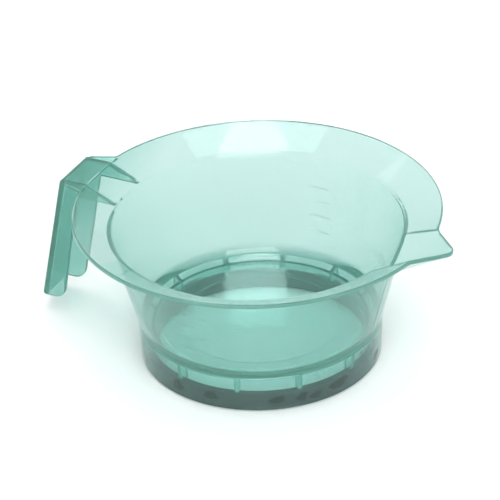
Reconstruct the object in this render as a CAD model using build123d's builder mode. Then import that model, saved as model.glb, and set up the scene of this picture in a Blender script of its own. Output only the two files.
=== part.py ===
from build123d import *
from math import atan, cos, degrees, pi, radians, sin, sqrt, tan
import os

os.makedirs("parts", exist_ok=True)

# A translucent tint bowl with a pouring lip, a hooked handle and an anti-slip ring.
# Origin on the bowl's axis, on the surface it stands on. +X is the pouring lip, -X the handle, +Z up.
# All lengths in millimetres, all angles in degrees.

# Rim and flange
RIM_RADIUS = 72.5
RIM_HEIGHT = 63.3
FLANGE_SLOPE = 25.2
FLANGE_THICKNESS = 1.6
RIM_LAND = 0.8
RIM_TOP_ROUNDING = 0.3
RIM_UNDER_ROUNDING = 0.5

# Wall and floor
MOUTH_RADIUS = 57.4
WALL_LEAN = 15.3
WALL_THICKNESS = 1.75
FLOOR_HEIGHT = 14.0
FLOOR_FILLET = 8.0
MOUTH_FILLET = 1.4
UNDER_FLANGE_FILLET = 1.8
LABEL_RECESS_RADIUS = 32.5
LABEL_RECESS_DEPTH = 0.45

# Skirt, inner groove wall and the stop ribs between them
SKIRT_TOP_HEIGHT = 18.0
SKIRT_BOTTOM_HEIGHT = 0.6
SKIRT_BOTTOM_RADIUS = 47.9
SKIRT_THICKNESS = 1.5
SKIRT_ROUNDING = 0.4
SKIRT_TOP_FILLET = 6.0
SKIRT_INSIDE_FILLET = 0.6
GROOVE_WALL_OUTER = 43.7
GROOVE_WALL_THICKNESS = 1.2
GROOVE_WALL_DRAFT = 0.1
GROOVE_WALL_BOTTOM = 1.2
RIB_COUNT = 12
RIB_THICKNESS = 1.8
FIRST_RIB_ANGLE = 15.0

# Pouring lip: a V-shaped gutter through the flange
SPOUT_APEX = 84.9
SPOUT_HALF_ANGLE = 44.0
SPOUT_SLOPE = 28.4
SPOUT_TIP_ROUNDING = 4.2
SPOUT_BOTTOM_RADIUS = 5.3
SPOUT_NOTCH_ROUNDING = 10.0
SPOUT_INNER_END = 45.0
SPOUT_INSIDE_FILLET = 2.5
SPOUT_UNDER_FILLET = 1.4
FLANGE_RUN_ON = 12.0

# Handle: a U-channel, open towards the bowl, hung from a flat top plate
HANDLE_SHOULDER = 82.4
HANDLE_LEAN = 12.6
HANDLE_TOP_HALF_WIDTH = 10.95
HANDLE_BOTTOM_HALF_WIDTH = 9.6
HANDLE_BOTTOM_HEIGHT = 6.2
HANDLE_THICKNESS = 1.8
HANDLE_SIDE_THICKNESS = 2.2
SHOULDER_ROUNDING = 2.0
HANDLE_FOOT_ROUNDING = 1.2
HANDLE_EDGE_ROUNDING = 0.9
HANDLE_INSIDE_ROUNDING = 0.6
GRIP_BOTTOM_INNER = 85.2
GRIP_BOTTOM_ROUNDING = 5.5
GRIP_TOP_INNER = 75.6
WEB_HEIGHT = 55.7
WEB_ROUNDING = 1.5
WEB_INNER_END = 57.6
BEAD_PROUD = 0.9
BEAD_END_ROUNDING = 1.0
BEAD_TOP_BEND = 6.0
GUSSET_INNER = 70.2
GUSSET_START = 80.3
GUSSET_HALF_WIDTH = 15.2

# Anti-slip ring and the glue that holds it
RING_INNER = 43.8
RING_TOP_HEIGHT = 7.4
RING_FOOT_ROUNDING = 0.5
GLUE_THICKNESS = 0.25
GLUE_LOW = 1.2
GLUE_HIGH = 7.2
BLOB_POINTS = 12

# Patches of glue: angle around the bowl, height of the middle, half length, half height
GLUE_DABS = (
    (224, 4.4, 2.2, 1.6),
    (253, 4.6, 3.0, 1.8),
    (272, 4.9, 3.6, 1.4),
    (304, 4.5, 3.5, 1.3),
    (316, 4.2, 2.4, 1.6),
    (323, 3.4, 2.6, 1.2),
    (336, 5.0, 4.6, 1.8),
    (8, 4.2, 3.2, 1.5),
    (41, 4.8, 2.6, 1.2),
    (77, 4.0, 3.8, 1.6),
    (118, 4.7, 2.8, 1.4),
    (150, 4.1, 3.4, 1.7),
    (191, 4.5, 2.7, 1.3),
)

# Volume marks: raised beads inside the wall, about 50 ml apart, alike on the two sides.
# Height, angle where the bead starts, and angle that it spans.
VOLUME_MARKS = (
    (44.2, 85.0, 9.0),
    (38.7, 84.0, 4.8),
    (32.9, 82.8, 9.6),
    (26.6, 81.8, 5.2),
)
MARK_SIDES = (0, 180)
MARK_BEAD_RADIUS = 0.35

# Worked out from the driving dimensions
flange_rise = tan(radians(FLANGE_SLOPE))
wall_rise = 1 / tan(radians(WALL_LEAN))
mouth_height = RIM_HEIGHT - (RIM_RADIUS - RIM_LAND - MOUTH_RADIUS) * flange_rise
wall_step = WALL_THICKNESS / cos(radians(WALL_LEAN))
flange_step = FLANGE_THICKNESS / cos(radians(FLANGE_SLOPE))
floor_underside = FLOOR_HEIGHT - WALL_THICKNESS
ABOVE_RIM = RIM_HEIGHT + 20


def inner_wall_radius(height):
    """Radius of the inside of the conical wall at a height."""
    return MOUTH_RADIUS - (mouth_height - height) / wall_rise


def outer_wall_radius(height):
    """Radius of the outside of the conical wall at a height."""
    return inner_wall_radius(height) + wall_step


skirt_top_radius = outer_wall_radius(SKIRT_TOP_HEIGHT)
skirt_flare = (skirt_top_radius - SKIRT_BOTTOM_RADIUS) / (SKIRT_TOP_HEIGHT - SKIRT_BOTTOM_HEIGHT)


def skirt_inner_radius(height):
    """Radius of the inside of the skirt at a height."""
    return SKIRT_BOTTOM_RADIUS - SKIRT_THICKNESS + (height - SKIRT_BOTTOM_HEIGHT) * skirt_flare


# Where the outside of the wall meets the underside of the flange
under_rim_height = RIM_HEIGHT + RIM_LAND * flange_rise - flange_step
under_corner_radius = (
    outer_wall_radius(0) + (under_rim_height - RIM_RADIUS * flange_rise) / wall_rise
) / (1 - flange_rise / wall_rise)
under_corner_height = under_rim_height - (RIM_RADIUS - under_corner_radius) * flange_rise


# Pouring lip. Its gutter has a constant V section, square to the line of its bottom.
spout_plan_rise = tan(radians(SPOUT_SLOPE)) / tan(radians(SPOUT_HALF_ANGLE))
section_angle = degrees(atan(spout_plan_rise * cos(radians(SPOUT_SLOPE))))
inner_apex = SPOUT_APEX - RIM_LAND / sin(radians(SPOUT_HALF_ANGLE))
spout_plane = Plane(
    origin=(inner_apex, 0, RIM_HEIGHT),
    x_dir=(0, 1, 0),
    z_dir=(cos(radians(SPOUT_SLOPE)), 0, sin(radians(SPOUT_SLOPE))),
)
GUTTER_REACH = 60.0
section_reach = GUTTER_REACH * tan(radians(section_angle))


def gutter_section(depth):
    """V section with a rounded bottom, lowered by depth square to its sides."""
    drop = depth / cos(radians(section_angle))
    with BuildSketch(spout_plane) as section:
        with BuildLine():
            FilletPolyline(
                (-GUTTER_REACH, section_reach - drop),
                (0, -drop),
                (GUTTER_REACH, section_reach - drop),
                radius=SPOUT_BOTTOM_RADIUS + depth,
            )
            Line((GUTTER_REACH, section_reach - drop), (-GUTTER_REACH, section_reach - drop))
        make_face()
    return section.sketch


with BuildPart() as gutter_outside:
    extrude(gutter_section(FLANGE_THICKNESS), amount=SPOUT_APEX - SPOUT_INNER_END, both=True)

with BuildPart() as gutter_inside:
    extrude(gutter_section(0), amount=SPOUT_APEX - SPOUT_INNER_END, both=True)


# Plan outline of the rim: a circle, with the V of the lip running out of it
v_root = RIM_RADIUS * cos(radians(20))
v_half_width = (SPOUT_APEX - v_root) * tan(radians(SPOUT_HALF_ANGLE))
with BuildPart() as rim_column:
    with BuildSketch():
        Circle(RIM_RADIUS)
        with BuildLine():
            FilletPolyline(
                (v_root, -v_half_width),
                (SPOUT_APEX, 0),
                (v_root, v_half_width),
                radius=SPOUT_TIP_ROUNDING,
            )
            Line((v_root, v_half_width), (v_root, -v_half_width))
        make_face()
    extrude(amount=RIM_HEIGHT)
    notches = rim_column.edges().filter_by(Axis.Z).filter_by(
        lambda edge: abs(sqrt(edge.center().X ** 2 + edge.center().Y ** 2) - RIM_RADIUS) < 0.01
        and edge.center().X > 0
    )
    fillet(notches, SPOUT_NOTCH_ROUNDING)

# Everything inside the outer faces of the skirt, the wall, the flange and the lip.
# The flange and the lip run on past the rim, and the plan outline cuts them off.
with BuildPart() as outer_body:
    run_on_height = under_rim_height + FLANGE_RUN_ON * flange_rise
    with BuildSketch(Plane.XZ):
        with BuildLine():
            FilletPolyline(
                (0, SKIRT_BOTTOM_HEIGHT),
                (SKIRT_BOTTOM_RADIUS, SKIRT_BOTTOM_HEIGHT),
                (skirt_top_radius, SKIRT_TOP_HEIGHT),
                (under_corner_radius, under_corner_height),
                (RIM_RADIUS + FLANGE_RUN_ON, run_on_height),
                radius=(SKIRT_ROUNDING, SKIRT_TOP_FILLET, UNDER_FLANGE_FILLET),
            )
            Polyline(
                (RIM_RADIUS + FLANGE_RUN_ON, run_on_height),
                (RIM_RADIUS + FLANGE_RUN_ON, ABOVE_RIM),
                (0, ABOVE_RIM),
                (0, SKIRT_BOTTOM_HEIGHT),
            )
        make_face()
    revolve(axis=Axis.Z)
    add(gutter_outside.part)
    seams = outer_body.edges(Select.NEW).filter_by(lambda edge: edge.center().Z < RIM_HEIGHT)
    fillet(seams, SPOUT_UNDER_FILLET)
    add(rim_column.part, mode=Mode.INTERSECT)
    fillet(outer_body.edges(Select.NEW), RIM_UNDER_ROUNDING)

# The bowl's own outside below the skirt's top: its floor, the round corner and the wall
with BuildPart() as floor_block:
    with BuildSketch(Plane.XZ):
        with BuildLine():
            FilletPolyline(
                (0, floor_underside),
                (outer_wall_radius(floor_underside), floor_underside),
                (outer_wall_radius(RIM_HEIGHT), RIM_HEIGHT),
                radius=FLOOR_FILLET + WALL_THICKNESS,
            )
            Polyline((outer_wall_radius(RIM_HEIGHT), RIM_HEIGHT), (0, RIM_HEIGHT), (0, floor_underside))
        make_face()
    revolve(axis=Axis.Z)

# The space inside the skirt, below the floor
with BuildPart() as base_hollow:
    with BuildSketch(Plane.XZ):
        Polygon(
            (0, 0),
            (skirt_inner_radius(0), 0),
            (skirt_inner_radius(SKIRT_TOP_HEIGHT), SKIRT_TOP_HEIGHT),
            (0, SKIRT_TOP_HEIGHT),
            align=None,
        )
    revolve(axis=Axis.Z)
    add(floor_block.part, mode=Mode.SUBTRACT)
    deepest = base_hollow.edges().filter_by(GeomType.CIRCLE).sort_by(Axis.Z)[-1]
    fillet(deepest, SKIRT_INSIDE_FILLET)

# The space inside the bowl, with the gutter that leads out of it over the lip
with BuildPart() as hollow:
    overshoot = (ABOVE_RIM - RIM_HEIGHT) / flange_rise
    with BuildSketch(Plane.XZ):
        with BuildLine():
            FilletPolyline(
                (0, FLOOR_HEIGHT),
                (inner_wall_radius(FLOOR_HEIGHT), FLOOR_HEIGHT),
                (MOUTH_RADIUS, mouth_height),
                (RIM_RADIUS - RIM_LAND + overshoot, ABOVE_RIM),
                radius=(FLOOR_FILLET, MOUTH_FILLET),
            )
            Polyline((RIM_RADIUS - RIM_LAND + overshoot, ABOVE_RIM), (0, ABOVE_RIM), (0, FLOOR_HEIGHT))
        make_face()
    revolve(axis=Axis.Z)
    add(gutter_inside.part)
    seams = hollow.edges(Select.NEW).filter_by(GeomType.LINE, reverse=True)
    fillet(seams, SPOUT_INSIDE_FILLET)

# The walls: the outer body less its two hollows, with the rim's edges rounded
with BuildPart() as shell:
    add(outer_body.part)
    add(hollow.part, mode=Mode.SUBTRACT)
    add(base_hollow.part, mode=Mode.SUBTRACT)
    with Locations((0, 0, floor_underside)):
        Cylinder(
            LABEL_RECESS_RADIUS,
            LABEL_RECESS_DEPTH,
            align=(Align.CENTER, Align.CENTER, Align.MIN),
            mode=Mode.SUBTRACT,
        )
    rim_top = shell.faces().filter_by(Plane.XY).sort_by(Axis.Z)[-1]
    fillet(rim_top.edges(), RIM_TOP_ROUNDING)

# Handle: a block cut to the outline of its side and to its tapering width, with a channel cut in it
handle_drop = RIM_HEIGHT - HANDLE_BOTTOM_HEIGHT
bead_run = RIM_RADIUS - RIM_LAND - WEB_INNER_END
bead_end_height = RIM_HEIGHT - bead_run * flange_rise + BEAD_PROUD
bead_start = RIM_RADIUS - RIM_LAND - BEAD_PROUD / flange_rise
bowl_side = RIM_RADIUS / 2


def handle_back(height, inset=0.0):
    """Position along X of the handle's back at a height, or of a surface inset from it."""
    drop = RIM_HEIGHT - height
    return -HANDLE_SHOULDER - drop * tan(radians(HANDLE_LEAN)) + inset / cos(radians(HANDLE_LEAN))


def handle_width_block(inset):
    """Solid between the handle's two tapered sides, moved in by inset."""
    taper = (HANDLE_TOP_HALF_WIDTH - HANDLE_BOTTOM_HALF_WIDTH) / handle_drop
    top_half = HANDLE_TOP_HALF_WIDTH + (ABOVE_RIM - RIM_HEIGHT) * taper - inset
    bottom_half = HANDLE_BOTTOM_HALF_WIDTH - HANDLE_BOTTOM_HEIGHT * taper - inset
    with BuildPart() as block:
        with BuildSketch(Plane.YZ.offset(handle_back(0))):
            Polygon(
                (-top_half, ABOVE_RIM),
                (top_half, ABOVE_RIM),
                (bottom_half, 0),
                (-bottom_half, 0),
                align=None,
            )
        extrude(amount=-bowl_side - handle_back(0))
    return block.part


with BuildPart() as handle_block:
    with BuildSketch(Plane.XZ):
        with BuildLine():
            FilletPolyline(
                (-HANDLE_SHOULDER, RIM_HEIGHT),
                (handle_back(HANDLE_BOTTOM_HEIGHT), HANDLE_BOTTOM_HEIGHT),
                (-GRIP_BOTTOM_INNER, HANDLE_BOTTOM_HEIGHT),
                (-GRIP_TOP_INNER, WEB_HEIGHT),
                (-WEB_INNER_END, WEB_HEIGHT),
                (-WEB_INNER_END, bead_end_height),
                (-bead_start, RIM_HEIGHT),
                radius=(
                    SHOULDER_ROUNDING,
                    HANDLE_FOOT_ROUNDING,
                    GRIP_BOTTOM_ROUNDING,
                    WEB_ROUNDING,
                    BEAD_END_ROUNDING,
                    BEAD_END_ROUNDING,
                    BEAD_TOP_BEND,
                ),
                close=True,
            )
        make_face()
    extrude(amount=GUSSET_HALF_WIDTH, both=True)
    add(handle_width_block(0), mode=Mode.INTERSECT)
    sides = handle_block.faces().sort_by(Axis.Y)
    fillet(sides[0].edges() + sides[-1].edges(), HANDLE_EDGE_ROUNDING)

# The channel between the two sides, open towards the bowl and below. Over the flange it has no top.
with BuildPart() as handle_channel:
    plate_underside = RIM_HEIGHT - HANDLE_THICKNESS
    with BuildSketch(Plane.XZ):
        Polygon(
            (handle_back(0, HANDLE_THICKNESS), 0),
            (handle_back(plate_underside, HANDLE_THICKNESS), plate_underside),
            (-GUSSET_INNER, plate_underside),
            (-GUSSET_INNER, ABOVE_RIM),
            (-bowl_side, ABOVE_RIM),
            (-bowl_side, 0),
            align=None,
        )
    extrude(amount=GUSSET_HALF_WIDTH, both=True)
    add(handle_width_block(HANDLE_SIDE_THICKNESS), mode=Mode.INTERSECT)
    back_edges = handle_channel.faces().sort_by(Axis.X)[0].edges()
    fillet(back_edges.filter_by(Axis.Y, reverse=True), HANDLE_INSIDE_ROUNDING)

with BuildPart() as handle:
    add(handle_block.part)
    add(handle_channel.part, mode=Mode.SUBTRACT)
    with BuildSketch(Plane.XY.offset(plate_underside)):
        Polygon(
            (-GUSSET_START, -HANDLE_TOP_HALF_WIDTH),
            (-GUSSET_INNER, -GUSSET_HALF_WIDTH),
            (-GUSSET_INNER, GUSSET_HALF_WIDTH),
            (-GUSSET_START, HANDLE_TOP_HALF_WIDTH),
            align=None,
        )
    extrude(amount=HANDLE_THICKNESS)
    bead_edges = handle.edges().filter_by(
        lambda edge: edge.center().X > -bead_start
        and edge.center().Z > WEB_HEIGHT + WEB_ROUNDING
        and abs(edge.center().Y) < HANDLE_TOP_HALF_WIDTH - HANDLE_SIDE_THICKNESS
    )
    fillet(bead_edges, HANDLE_INSIDE_ROUNDING)

# Base: the groove wall and the stop ribs between it and the skirt
groove_wall_inner = GROOVE_WALL_OUTER - GROOVE_WALL_THICKNESS
groove_wall_top = FLOOR_HEIGHT - WALL_THICKNESS / 2
with BuildPart() as groove_wall:
    with BuildSketch(Plane.XZ):
        Polygon(
            (GROOVE_WALL_OUTER, groove_wall_top),
            (GROOVE_WALL_OUTER - GROOVE_WALL_DRAFT, GROOVE_WALL_BOTTOM),
            (groove_wall_inner + GROOVE_WALL_DRAFT, GROOVE_WALL_BOTTOM),
            (groove_wall_inner, groove_wall_top),
            align=None,
        )
    revolve(axis=Axis.Z)

rib_inner = GROOVE_WALL_OUTER - GROOVE_WALL_THICKNESS / 2
rib_outer = SKIRT_BOTTOM_RADIUS - SKIRT_THICKNESS / 2
rib_outer_top = SKIRT_TOP_HEIGHT - SKIRT_THICKNESS
with BuildPart() as ribs:
    for number in range(RIB_COUNT):
        angle = FIRST_RIB_ANGLE + number * 360 / RIB_COUNT
        with BuildSketch(Plane.XZ.rotated((0, 0, angle))):
            Polygon(
                (rib_inner, RING_TOP_HEIGHT),
                (rib_outer, RING_TOP_HEIGHT),
                (rib_outer, rib_outer_top),
                (rib_inner, groove_wall_top),
                align=None,
            )
        extrude(amount=RIB_THICKNESS / 2, both=True)

# Raised volume marks
with BuildPart() as marks:
    for side in MARK_SIDES:
        for height, start, arc in VOLUME_MARKS:
            with BuildSketch(Plane.XZ.rotated((0, 0, side + start))):
                with Locations((inner_wall_radius(height), height)):
                    Circle(MARK_BEAD_RADIUS)
            revolve(axis=Axis.Z, revolution_arc=arc)

with BuildPart() as bowl:
    add(shell.part)
    add(handle.part)
    add(groove_wall.part)
    add(ribs.part)
    add(marks.part)
bowl.part.label = "bowl"
export_step(bowl.part, "parts/bowl.step")

# The ring fills the groove up to the stop ribs and stands a little below the skirt
with BuildPart() as anti_slip_ring:
    with BuildSketch(Plane.XZ) as ring_profile:
        Polygon(
            (RING_INNER, 0),
            (skirt_inner_radius(0) - GLUE_THICKNESS, 0),
            (skirt_inner_radius(RING_TOP_HEIGHT) - GLUE_THICKNESS, RING_TOP_HEIGHT),
            (RING_INNER, RING_TOP_HEIGHT),
            align=None,
        )
        fillet(ring_profile.vertices().group_by(Axis.Y)[0], RING_FOOT_ROUNDING)
    revolve(axis=Axis.Z)
anti_slip_ring.part.label = "anti_slip_ring"
export_step(anti_slip_ring.part, "parts/anti_slip_ring.step")

# Each glue patch is an uneven blob cut out of the gap between the ring and the skirt
with BuildPart() as glue_gap:
    with BuildSketch(Plane.XZ):
        Polygon(
            (skirt_inner_radius(GLUE_LOW) - GLUE_THICKNESS, GLUE_LOW),
            (skirt_inner_radius(GLUE_LOW), GLUE_LOW),
            (skirt_inner_radius(GLUE_HIGH), GLUE_HIGH),
            (skirt_inner_radius(GLUE_HIGH) - GLUE_THICKNESS, GLUE_HIGH),
            align=None,
        )
    revolve(axis=Axis.Z)


def blob_outline(half_length, half_height, phase):
    """Points around an uneven closed outline, with two bumps and three bumps on an ellipse."""
    points = []
    for step in range(BLOB_POINTS):
        turn = 2 * pi * step / BLOB_POINTS
        reach = 1 + 0.22 * sin(2 * turn + phase) + 0.18 * sin(3 * turn + 2 * phase)
        points.append((half_length * reach * cos(turn), half_height * reach * sin(turn)))
    return points


with BuildPart() as blobs:
    for angle, height, half_length, half_height in GLUE_DABS:
        out = Vector(cos(radians(angle)), sin(radians(angle)), 0)
        along = Vector(-sin(radians(angle)), cos(radians(angle)), 0)
        blob_plane = Plane(origin=out * 40 + Vector(0, 0, height), x_dir=along, z_dir=out)
        with BuildSketch(blob_plane):
            with BuildLine():
                Spline(*blob_outline(half_length, half_height, radians(angle)), periodic=True)
            make_face()
        extrude(amount=10)

with BuildPart() as adhesive_dabs:
    add(glue_gap.part)
    add(blobs.part, mode=Mode.INTERSECT)
adhesive_dabs.part.label = "adhesive_dabs"
export_step(adhesive_dabs.part, "parts/adhesive_dabs.step")
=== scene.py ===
from math import cos, pi, radians, sin

import bpy
from mathutils import Matrix, Vector


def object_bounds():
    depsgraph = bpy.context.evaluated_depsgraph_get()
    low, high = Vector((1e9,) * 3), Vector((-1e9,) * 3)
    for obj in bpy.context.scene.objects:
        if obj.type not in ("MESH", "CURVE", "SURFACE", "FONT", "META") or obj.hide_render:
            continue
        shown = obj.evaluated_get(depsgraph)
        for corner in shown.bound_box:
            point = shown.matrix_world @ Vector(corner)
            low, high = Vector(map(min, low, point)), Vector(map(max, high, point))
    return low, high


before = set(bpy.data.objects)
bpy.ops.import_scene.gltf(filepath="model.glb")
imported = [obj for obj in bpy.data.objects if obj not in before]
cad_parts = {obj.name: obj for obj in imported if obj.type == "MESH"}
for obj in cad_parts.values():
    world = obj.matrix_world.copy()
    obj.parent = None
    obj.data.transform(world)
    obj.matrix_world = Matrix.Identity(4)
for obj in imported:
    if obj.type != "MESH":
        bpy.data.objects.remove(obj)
cad_low, cad_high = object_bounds()

# ---------------------------------------------------------------- camera
CAMERA_ELEVATION = 30.656
CAMERA_AZIMUTH = 27.8
CAMERA_DISTANCE = 1.25
CAMERA_ROLL = -2.226
CAMERA_LENS = 229.2
CAMERA_SENSOR = 36.0
AIM_HEIGHT = 0.04451
AIM_SIDE = -0.00325


def make_camera():
    """A long lens, looking down at the front from the side of the pouring lip."""
    elevation = radians(CAMERA_ELEVATION)
    azimuth = radians(CAMERA_AZIMUTH)
    back = Vector((sin(azimuth) * cos(elevation), -cos(azimuth) * cos(elevation), sin(elevation)))
    right = Vector((cos(azimuth), sin(azimuth), 0))
    up = back.cross(right)
    aim = Vector((0, 0, AIM_HEIGHT)) + right * AIM_SIDE
    roll = radians(CAMERA_ROLL)
    rolled_right = right * cos(roll) + up * sin(roll)
    rolled_up = up * cos(roll) - right * sin(roll)
    data = bpy.data.cameras.new("camera")
    data.lens = CAMERA_LENS
    data.sensor_width = CAMERA_SENSOR
    data.sensor_fit = "HORIZONTAL"
    data.clip_start = 0.01
    data.clip_end = 20
    camera = bpy.data.objects.new("camera", data)
    turn = Matrix((rolled_right, rolled_up, back)).transposed()
    camera.matrix_world = Matrix.Translation(aim + back * CAMERA_DISTANCE) @ turn.to_4x4()
    bpy.context.scene.collection.objects.link(camera)
    bpy.context.scene.camera = camera


make_camera()


# ---------------------------------------------------------------- materials
# Absorption of red, green and blue light, and scattering, per metre of plastic.
PLASTIC_ABSORB = (218, 72, 92)
PLASTIC_SCATTER = 130
PLASTIC_IOR = 1.49
PLASTIC_TINT = (0.95, 0.99, 0.98)
PLASTIC_TINT_STREAK = (0.985, 1.0, 1.0)
PLASTIC_GLOSS = (0.015, 0.04)
PLASTIC_PEEL = 0.00001
# The base colour darkens along x, over these ranges. Towards the thick handle this is painted shade,
# for the shaded table seen through it and the long light paths in it; it also darkens towards the lip.
HANDLE_PAINTED_SHADE = (0.56, 0.77, 0.73)
HANDLE_SHADE_FADE = (-0.057, -0.076)
LIP_TINT = (0.8, 0.88, 0.87)
LIP_FADE = (0.058, 0.082)

RUBBER_BLACK = (0.02, 0.024, 0.026)
RUBBER_WORN = (0.036, 0.044, 0.046)
RUBBER_GLOSS = (0.45, 0.65)
RUBBER_SHINE = 0.25
RUBBER_GRAIN = 0.00005

GLUE_DARK = (0.002, 0.003, 0.003)
GLUE_CLOUDY = (0.006, 0.01, 0.01)
GLUE_GLOSS = (0.12, 0.3)
GLUE_SHINE = 0.0
GLUE_LUMPS = 0.0001

NONE_TO_ALL = (0, 1)
MOST_OF_NOISE = (0.3, 0.7)


def node_material(name):
    """A new material with one Principled shader, its tree and the shader."""
    material = bpy.data.materials.new(name)
    material.use_nodes = True
    return material, material.node_tree, material.node_tree.nodes["Principled BSDF"]


def object_place(tree):
    """Each point's place in the object's own coordinates."""
    return tree.nodes.new("ShaderNodeTexCoord").outputs["Object"]


def noise(tree, scale, detail):
    """Smooth noise over the object, in cells of about 1/scale metres."""
    texture = tree.nodes.new("ShaderNodeTexNoise")
    texture.inputs["Scale"].default_value = scale
    texture.inputs["Detail"].default_value = detail
    tree.links.new(object_place(tree), texture.inputs["Vector"])
    return texture.outputs["Fac"]


def along_x(tree):
    """The object's own x coordinate."""
    split = tree.nodes.new("ShaderNodeSeparateXYZ")
    tree.links.new(object_place(tree), split.inputs["Vector"])
    return split.outputs["X"]


def spread(tree, value, source, target):
    """Maps a value from the source range to the target range, and holds it at the ends."""
    node = tree.nodes.new("ShaderNodeMapRange")
    node.inputs["From Min"].default_value, node.inputs["From Max"].default_value = source
    node.inputs["To Min"].default_value, node.inputs["To Max"].default_value = target
    tree.links.new(value, node.inputs["Value"])
    return node.outputs["Result"]


def blend(tree, factor, first, second):
    """A colour between first and second, each a colour or another node's output."""
    node = tree.nodes.new("ShaderNodeMix")
    node.data_type = "RGBA"
    tree.links.new(factor, node.inputs["Factor"])
    slots = {each.identifier: each for each in node.inputs}
    for slot, colour in ((slots["A_Color"], first), (slots["B_Color"], second)):
        if isinstance(colour, tuple):
            slot.default_value = (*colour, 1)
        else:
            tree.links.new(colour, slot)
    return next(each for each in node.outputs if each.identifier == "Result_Color")


def grain(tree, shader, height, distance):
    """Raises the surface by distance metres where height is 1."""
    bump = tree.nodes.new("ShaderNodeBump")
    bump.inputs["Distance"].default_value = distance
    tree.links.new(height, bump.inputs["Height"])
    tree.links.new(bump.outputs["Normal"], shader.inputs["Normal"])


def fill_with_tint(tree):
    """Fills the plastic with a volume that absorbs each colour by its own amount and scatters light."""
    density = max(PLASTIC_ABSORB)
    passed = [1 - each / density for each in PLASTIC_ABSORB]
    absorb = tree.nodes.new("ShaderNodeVolumeAbsorption")
    absorb.inputs["Color"].default_value = (*passed, 1)
    absorb.inputs["Density"].default_value = density
    scatter = tree.nodes.new("ShaderNodeVolumeScatter")
    scatter.inputs["Color"].default_value = (1, 1, 1, 1)
    scatter.inputs["Density"].default_value = PLASTIC_SCATTER
    both = tree.nodes.new("ShaderNodeAddShader")
    tree.links.new(absorb.outputs["Volume"], both.inputs[0])
    tree.links.new(scatter.outputs["Volume"], both.inputs[1])
    tree.links.new(both.outputs["Shader"], tree.nodes["Material Output"].inputs["Volume"])


def teal_plastic():
    """Clear moulded plastic with a slightly milky teal body, which scatters and absorbs light inside.

    Faint flow streaks, uneven gloss and a slight orange peel come from noise.
    """
    material, tree, shader = node_material("teal_plastic")
    streaks = spread(tree, noise(tree, 28, 3), (0.35, 0.65), NONE_TO_ALL)
    body = blend(tree, streaks, PLASTIC_TINT, PLASTIC_TINT_STREAK)
    # Painted shade: the base colour darkens towards the handle, standing in for shade seen through it.
    handle = spread(tree, along_x(tree), HANDLE_SHADE_FADE, NONE_TO_ALL)
    lip = spread(tree, along_x(tree), LIP_FADE, NONE_TO_ALL)
    tint_and_painted_shade = blend(tree, lip, blend(tree, handle, body, HANDLE_PAINTED_SHADE), LIP_TINT)
    gloss = spread(tree, noise(tree, 120, 4), MOST_OF_NOISE, PLASTIC_GLOSS)
    tree.links.new(tint_and_painted_shade, shader.inputs["Base Color"])
    tree.links.new(gloss, shader.inputs["Roughness"])
    grain(tree, shader, noise(tree, 260, 2), PLASTIC_PEEL)
    shader.inputs["IOR"].default_value = PLASTIC_IOR
    shader.inputs["Transmission Weight"].default_value = 1.0
    fill_with_tint(tree)
    return material


def black_rubber():
    """Satin black rubber, with a fine moulded grain and slightly greyer worn patches."""
    material, tree, shader = node_material("black_rubber")
    worn = spread(tree, noise(tree, 90, 4), (0.4, 0.7), NONE_TO_ALL)
    gloss = spread(tree, noise(tree, 400, 3), MOST_OF_NOISE, RUBBER_GLOSS)
    tree.links.new(blend(tree, worn, RUBBER_BLACK, RUBBER_WORN), shader.inputs["Base Color"])
    tree.links.new(gloss, shader.inputs["Roughness"])
    grain(tree, shader, noise(tree, 1500, 2), RUBBER_GRAIN)
    shader.inputs["Specular IOR Level"].default_value = RUBBER_SHINE
    return material


def glue():
    """Set glue, uneven and dark where it wets the rubber behind it."""
    material, tree, shader = node_material("glue")
    cloudy = spread(tree, noise(tree, 300, 3), (0.4, 0.65), NONE_TO_ALL)
    gloss = spread(tree, noise(tree, 500, 2), MOST_OF_NOISE, GLUE_GLOSS)
    tree.links.new(blend(tree, cloudy, GLUE_DARK, GLUE_CLOUDY), shader.inputs["Base Color"])
    tree.links.new(gloss, shader.inputs["Roughness"])
    grain(tree, shader, noise(tree, 700, 2), GLUE_LUMPS)
    shader.inputs["Specular IOR Level"].default_value = GLUE_SHINE
    return material


def dress(node, material):
    """Puts a material on every slot of a CAD node."""
    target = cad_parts[node]
    for slot in target.material_slots:
        slot.material = material


dress("bowl", teal_plastic())
dress("anti_slip_ring", black_rubber())
dress("adhesive_dabs", glue())


# ---------------------------------------------------------------- floor
FLOOR_SIZE = 6.0
FLOOR_GREY = 0.9
FLOOR_ROUGHNESS = 0.6


def make_floor():
    """A pale floor at the foot of the bowl."""
    half = FLOOR_SIZE / 2
    mesh = bpy.data.meshes.new("floor")
    corners = [(-half, -half), (half, -half), (half, half), (-half, half)]
    mesh.from_pydata([(x, y, cad_low.z) for x, y in corners], [], [(0, 1, 2, 3)])
    floor = bpy.data.objects.new("floor", mesh)
    bpy.context.scene.collection.objects.link(floor)
    material, tree, shader = node_material("floor")
    shader.inputs["Base Color"].default_value = (FLOOR_GREY, FLOOR_GREY, FLOOR_GREY, 1)
    shader.inputs["Roughness"].default_value = FLOOR_ROUGHNESS
    mesh.materials.append(material)


make_floor()


# ---------------------------------------------------------------- light
# Directions are from the camera's side of the bowl: across to its right, away from it, and up.
ACROSS = Vector((cos(radians(CAMERA_AZIMUTH)), sin(radians(CAMERA_AZIMUTH)), 0))
AWAY = Vector((-sin(radians(CAMERA_AZIMUTH)), cos(radians(CAMERA_AZIMUTH)), 0))
UP = Vector((0, 0, 1))
LIGHT_AIM = Vector((0, 0, 0.05))
ROOM_STRENGTH = 0.75


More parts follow.
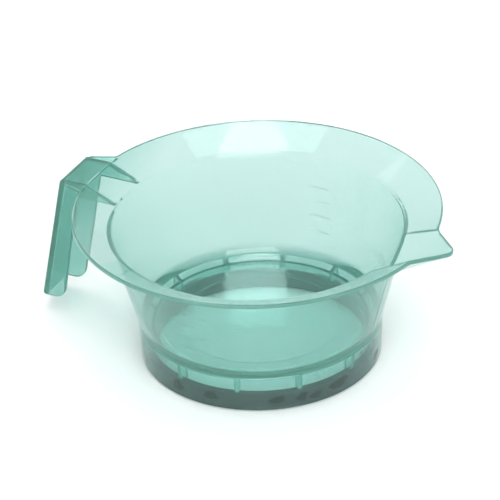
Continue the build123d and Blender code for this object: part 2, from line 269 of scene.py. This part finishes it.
def make_world():
    """Even white light from all round."""
    world = bpy.data.worlds.new("studio")
    world.use_nodes = True
    background = world.node_tree.nodes["Background"]
    background.inputs["Color"].default_value = (1, 1, 1, 1)
    background.inputs["Strength"].default_value = ROOM_STRENGTH
    bpy.context.scene.world = world


def studio_light(name, direction, distance, width, height, radiance):
    """A rectangular soft light that points at the bowl."""
    across, away, up = direction
    place = (ACROSS * across + AWAY * away + UP * up).normalized() * distance
    data = bpy.data.lights.new(name, "AREA")
    data.shape = "RECTANGLE"
    data.size = width
    data.size_y = height
    data.energy = radiance * pi * width * height
    light = bpy.data.objects.new(name, data)
    light.location = place
    light.rotation_euler = (LIGHT_AIM - place).to_track_quat("-Z", "Y").to_euler()
    bpy.context.scene.collection.objects.link(light)
    return light


def reflection_card(name, direction, distance, width, height, radiance, through_plastic):
    """A soft box that shows in the glossy faces and doesn't light the scene."""
    card = studio_light(name, direction, distance, width, height, radiance)
    card.visible_diffuse = False
    card.visible_volume_scatter = False
    card.visible_transmission = through_plastic


make_world()
studio_light("key", (0.1, -0.75, 0.75), 1.5, 1.1, 0.75, 5.0)
overhead = studio_light("overhead", (0.0, 0.1, 1.0), 1.5, 0.7, 0.7, 4.5)
overhead.visible_glossy = False
reflection_card("top_card", (0.0, -0.09, 1.0), 1.2, 0.37, 0.85, 4.0, through_plastic=False)
reflection_card("side_card", (-0.46, 0.6, 0.65), 1.2, 0.2, 0.3, 0.9, through_plastic=False)
# The floor mirrors this one through the back wall.
reflection_card("floor_card", (0.0, 0.893, 0.45), 1.5, 0.063, 0.3, 3.8, through_plastic=True)


# ---------------------------------------------------------------- render settings
def let_light_through():
    """Enough bounces for light to cross several walls, and no blur of light that has passed plastic."""
    bpy.context.scene.view_settings.view_transform = "Standard"
    cycles = bpy.context.scene.cycles
    cycles.max_bounces = 32
    cycles.transmission_bounces = 32
    cycles.volume_bounces = 12
    cycles.glossy_bounces = 12
    cycles.diffuse_bounces = 8
    cycles.blur_glossy = 0


let_light_through()
